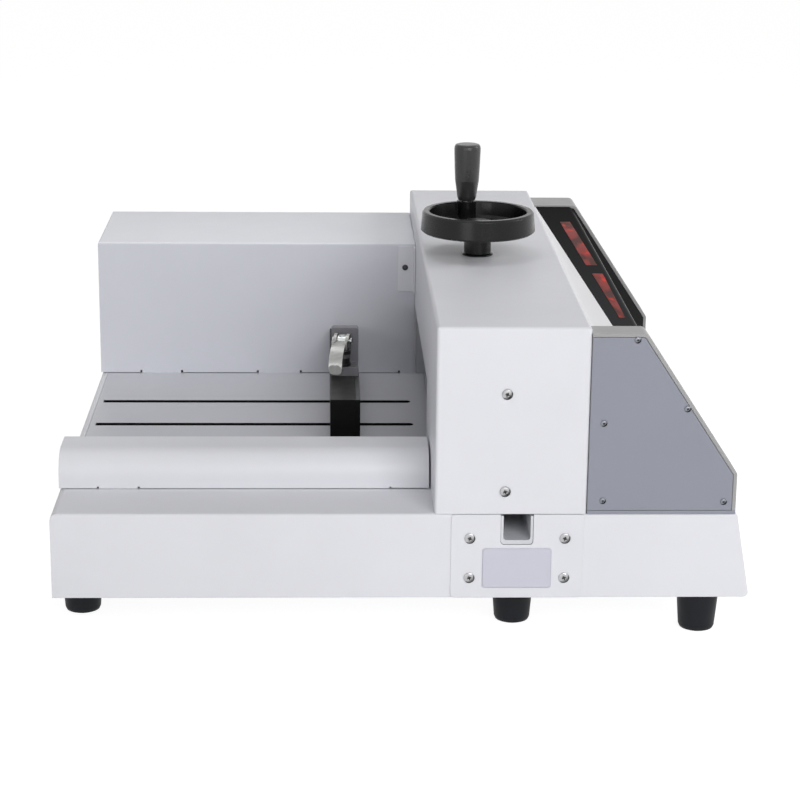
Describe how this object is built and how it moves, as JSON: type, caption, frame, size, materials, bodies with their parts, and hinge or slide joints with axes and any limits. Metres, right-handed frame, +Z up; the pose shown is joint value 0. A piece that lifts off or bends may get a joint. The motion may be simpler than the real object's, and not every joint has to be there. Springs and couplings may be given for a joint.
{
  "type": "electric paper cutter",
  "caption": "Electric desktop paper cutter with a gantry head, handwheel clamp, power-driven knife, slotted rear table, lever-locked pusher and a tinted front cover on hinges.",
  "frame": {"origin": "the middle of the footprint, on the surface that the feet stand on", "axes": "+X to the operator's end with the hinged cover, +Y to the machine's right side with the motor cover, +Z up"},
  "size_m": [0.705, 0.7372, 0.4405],
  "materials": {
    "painted_white": "semi-gloss white powder coat",
    "wall_paint": "semi-gloss cool white powder coat",
    "table_grey": "smooth light grey table coating",
    "frame_paint": "light grey paint",
    "slot_black": "black slot edging",
    "frame_steel": "plain grey cast frame",
    "dark_casting": "dark grey cast iron",
    "bright_steel": "ground steel",
    "knife_steel": "ground knife steel",
    "zinc_screw": "zinc plated screws",
    "black_screw": "blackened screws",
    "bronze": "machined bronze",
    "panel_grey": "light warm grey lip",
    "panel_blue_grey": "satin blue-grey plate",
    "panel_black": "black inner liner",
    "foot_rubber": "black rubber",
    "wheel_black": "glossy black moulded plastic",
    "cover_tint": "dark tinted polycarbonate",
    "pusher_black": "black painted bar",
    "pusher_grey": "mid grey plate",
    "upright_grey": "grey plate",
    "lever_satin": "satin nickel lever",
    "liner_white": "white channel",
    "stick_plastic": "cream cutting stick",
    "motor_paint": "blue-grey motor paint",
    "board_green": "circuit board and parts",
    "inlet_black": "black socket and tray",
    "button_green": "green push button",
    "rocker_red": "red rocker",
    "bezel_dark": "dark bezel"
  },
  "bodies": {
    "machine": {"base_shell": "painted_white", "bottom_plate": "frame_steel", "bed_webs": "dark_casting", "rear_feet": "foot_rubber", "front_feet": "foot_rubber", "rear_table": "table_grey", "slot_liners": "slot_black", "front_table": "table_grey", "left_rail": "painted_white", "motor_cover": "wall_paint", "cover_bracket": "wall_paint", "bracket_screw": "black_screw", "side_frame_left": "frame_paint", "side_frame_right": "frame_paint", "top_beam": "frame_steel", "beam_bolts": "black_screw", "screw_bush": "bronze", "head_cover": "painted_white", "head_screws": "zinc_screw", "left_panel_housing": "panel_grey", "right_panel_housing": "panel_grey", "panel_plates": "panel_blue_grey", "panel_liners": "panel_black", "panel_screws": "zinc_screw", "hinge_pins": "bright_steel", "access_plate": "painted_white", "access_screws": "zinc_screw", "port_liner": "liner_white", "drive_motor": "motor_paint", "gearbox": "frame_steel", "gearbox_stand": "dark_casting", "drive_bearing": "frame_steel", "control_board": "board_green", "inlet_panel": "inlet_black", "power_inlet": "inlet_black", "button_bezels": "bezel_dark"},
    "front_cover": {"front_cover": "cover_tint", "cover_rail": "painted_white", "cover_ears": "bezel_dark"},
    "drive_screw": {"drive_screw": "bright_steel"},
    "knife": {"knife_carrier": "dark_casting", "knife_blade": "knife_steel", "knife_screws": "black_screw", "drive_nut": "bronze"},
    "clamp": {"clamp_beam": "frame_steel", "clamp_nut": "bronze"},
    "handwheel": {"handwheel": "wheel_black", "clamp_screw": "bright_steel", "grip_spindle": "bright_steel"},
    "grip": {"revolving_grip": "wheel_black"},
    "stick": {"cutting_stick": "stick_plastic"},
    "pusher": {"pusher_bar": "pusher_black", "pusher_face": "pusher_grey", "pusher_upright": "upright_grey", "pusher_guides": "dark_casting", "clamp_stud": "black_screw"},
    "lever": {"cam_lever": "lever_satin"},
    "left_button": {"left_cut_button": "button_green"},
    "right_button": {"right_cut_button": "button_green"},
    "rocker": {"power_rocker": "rocker_red"}
  },
  "joints": [
    {"name": "handwheel_turn", "type": "hinge", "parent": "machine", "child": "handwheel", "pos_m": [0.093, -0.027, 0.35], "axis": [0, 0, 1], "range_deg": [-3240, 0]},
    {"name": "grip_spin", "type": "hinge", "parent": "handwheel", "child": "grip", "pos_m": [0.08316, 0.02508, 0.405], "axis": [0, 0, 1], "continuous": true},
    {"name": "clamp_slide", "type": "slide", "parent": "machine", "child": "clamp", "axis": [0, 0, -1], "range_m": [0, 0.0451]},
    {"name": "drive_screw_turn", "type": "hinge", "parent": "machine", "child": "drive_screw", "pos_m": [0.131, 0.219, 0.22], "axis": [0, 0, 1], "range_deg": [0, 1792]},
    {"name": "knife_slide", "type": "slide", "parent": "machine", "child": "knife", "axis": [0, 0, -1], "range_m": [0, 0.0497]},
    {"name": "cover_hinge", "type": "hinge", "parent": "machine", "child": "front_cover", "pos_m": [0.2015, 0, 0.31], "axis": [0, -1, 0], "range_deg": [0, 80]},
    {"name": "pusher_slide", "type": "slide", "parent": "machine", "child": "pusher", "axis": [1, 0, 0], "range_m": [-0.268, 0.066]},
    {"name": "cam_lever_turn", "type": "hinge", "parent": "pusher", "child": "lever", "pos_m": [-0.05875, -0.05, 0.2293], "axis": [-0.9703, 0.2419, 0], "range_deg": [0, 95]},
    {"name": "stick_slide", "type": "slide", "parent": "machine", "child": "stick", "axis": [0, -1, 0], "range_m": [0, 0.3]},
    {"name": "left_button_press", "type": "slide", "parent": "machine", "child": "left_button", "axis": [-0.9842, 0, -0.1769], "range_m": [0, 0.003], "stiffness_N_per_m": 900, "springref_m": -0.002},
    {"name": "right_button_press", "type": "slide", "parent": "machine", "child": "right_button", "axis": [-0.9842, 0, -0.1769], "range_m": [0, 0.003], "stiffness_N_per_m": 900, "springref_m": -0.002},
    {"name": "power_rocker_turn", "type": "hinge", "parent": "machine", "child": "rocker", "pos_m": [-0.341, 0.2905, 0.176], "axis": [0, -1, 0], "range_deg": [0, 14]}
  ],
  "couplings": [
    {"joint": "clamp_slide", "follows": "handwheel_turn", "m_per_rad": -0.00079577},
    {"joint": "drive_screw_turn", "follows": "knife_slide", "rad_per_m": 628.32}
  ]
}
